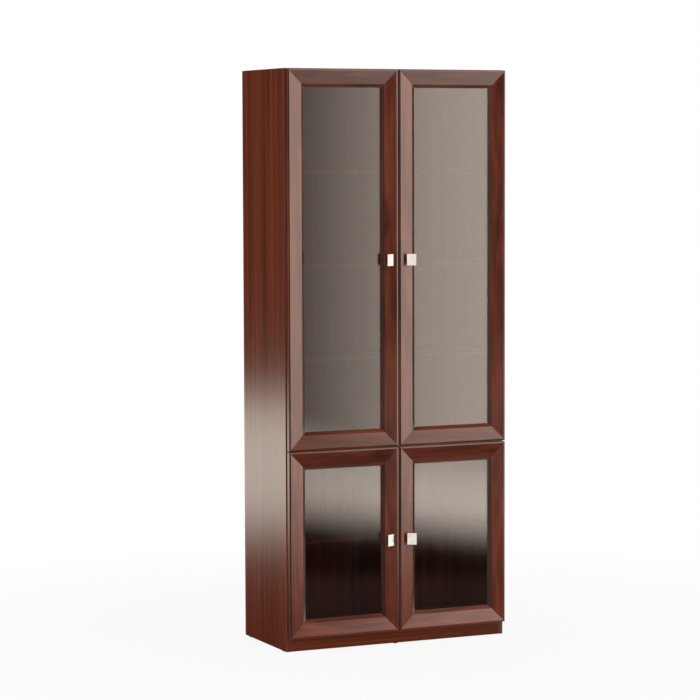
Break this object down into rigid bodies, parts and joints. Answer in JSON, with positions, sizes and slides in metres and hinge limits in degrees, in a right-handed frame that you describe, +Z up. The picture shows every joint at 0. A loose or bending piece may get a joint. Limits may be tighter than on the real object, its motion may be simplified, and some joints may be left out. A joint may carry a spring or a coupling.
{
  "type": "glass display cabinet",
  "caption": "Tall freestanding display cabinet: dark wood carcass with shelves and a middle partition behind framed smoked-glass doors that swing on concealed cup hinges.",
  "frame": {"origin": "on the floor, in the middle of the outline's width and depth, knobs included", "axes": "+X to the right seen from the front, +Y to the rear, +Z up; the doors face -Y"},
  "size_m": [0.8816, 0.4466, 2.11],
  "materials": {
    "carcass_wood": "satin lacquered dark mahogany veneer",
    "frame_wood": "satin lacquered dark mahogany",
    "back_sheet": "brown laminated fibreboard",
    "smoked_glass": "smoked grey-bronze, reflective",
    "bead_strip": "dark brown strip",
    "knob_chrome": "polished",
    "hinge_steel": "nickel plated",
    "screw_steel": "zinc plated",
    "peg_steel": "nickel plated",
    "zinc": "cast zinc, grey",
    "glide_plastic": "black",
    "bumper_rubber": "clear soft dot"
  },
  "bodies": {
    "carcass": {"left_side": "carcass_wood", "right_side": "carcass_wood", "top_board": "carcass_wood", "bottom_board": "carcass_wood", "middle_board": "carcass_wood", "upper_partition": "carcass_wood", "lower_partition": "carcass_wood", "front_plinth": "carcass_wood", "rear_plinth": "carcass_wood", "back_panel": "back_sheet", "upper_left_shelves": "carcass_wood", "upper_right_shelves": "carcass_wood", "lower_shelves": "carcass_wood", "shelf_pegs": "peg_steel", "hinge_arms": "hinge_steel", "hinge_plates": "hinge_steel", "connector_cams": "zinc", "connector_bolts": "screw_steel", "floor_glides": "glide_plastic", "door_bumpers": "bumper_rubber"},
    "upper_left_door": {"upper_left_hinge_stile": "frame_wood", "upper_left_lock_stile": "frame_wood", "upper_left_top_rail": "frame_wood", "upper_left_bottom_rail": "frame_wood", "upper_left_glass": "smoked_glass", "upper_left_glass_beads": "bead_strip", "upper_left_knob": "knob_chrome", "upper_left_hinge_cups": "hinge_steel", "upper_left_hinge_pins": "hinge_steel", "upper_left_screws": "screw_steel"},
    "upper_right_door": {"upper_right_hinge_stile": "frame_wood", "upper_right_lock_stile": "frame_wood", "upper_right_top_rail": "frame_wood", "upper_right_bottom_rail": "frame_wood", "upper_right_glass": "smoked_glass", "upper_right_glass_beads": "bead_strip", "upper_right_knob": "knob_chrome", "upper_right_hinge_cups": "hinge_steel", "upper_right_hinge_pins": "hinge_steel", "upper_right_screws": "screw_steel"},
    "lower_left_door": {"lower_left_hinge_stile": "frame_wood", "lower_left_lock_stile": "frame_wood", "lower_left_top_rail": "frame_wood", "lower_left_bottom_rail": "frame_wood", "lower_left_glass": "smoked_glass", "lower_left_glass_beads": "bead_strip", "lower_left_knob": "knob_chrome", "lower_left_hinge_cups": "hinge_steel", "lower_left_hinge_pins": "hinge_steel", "lower_left_screws": "screw_steel"},
    "lower_right_door": {"lower_right_hinge_stile": "frame_wood", "lower_right_lock_stile": "frame_wood", "lower_right_top_rail": "frame_wood", "lower_right_bottom_rail": "frame_wood", "lower_right_glass": "smoked_glass", "lower_right_glass_beads": "bead_strip", "lower_right_knob": "knob_chrome", "lower_right_hinge_cups": "hinge_steel", "lower_right_hinge_pins": "hinge_steel", "lower_right_screws": "screw_steel"}
  },
  "joints": [
    {"name": "upper_left_swing", "type": "hinge", "parent": "carcass", "child": "upper_left_door", "pos_m": [-0.429, -0.18225, 1.422], "axis": [0, 0, -1], "range_deg": [0, 100]},
    {"name": "upper_right_swing", "type": "hinge", "parent": "carcass", "child": "upper_right_door", "pos_m": [0.429, -0.18225, 1.422], "axis": [0, 0, 1], "range_deg": [0, 100]},
    {"name": "lower_left_swing", "type": "hinge", "parent": "carcass", "child": "lower_left_door", "pos_m": [-0.429, -0.18225, 0.3925], "axis": [0, 0, -1], "range_deg": [0, 100]},
    {"name": "lower_right_swing", "type": "hinge", "parent": "carcass", "child": "lower_right_door", "pos_m": [0.429, -0.18225, 0.3925], "axis": [0, 0, 1], "range_deg": [0, 100]}
  ]
}
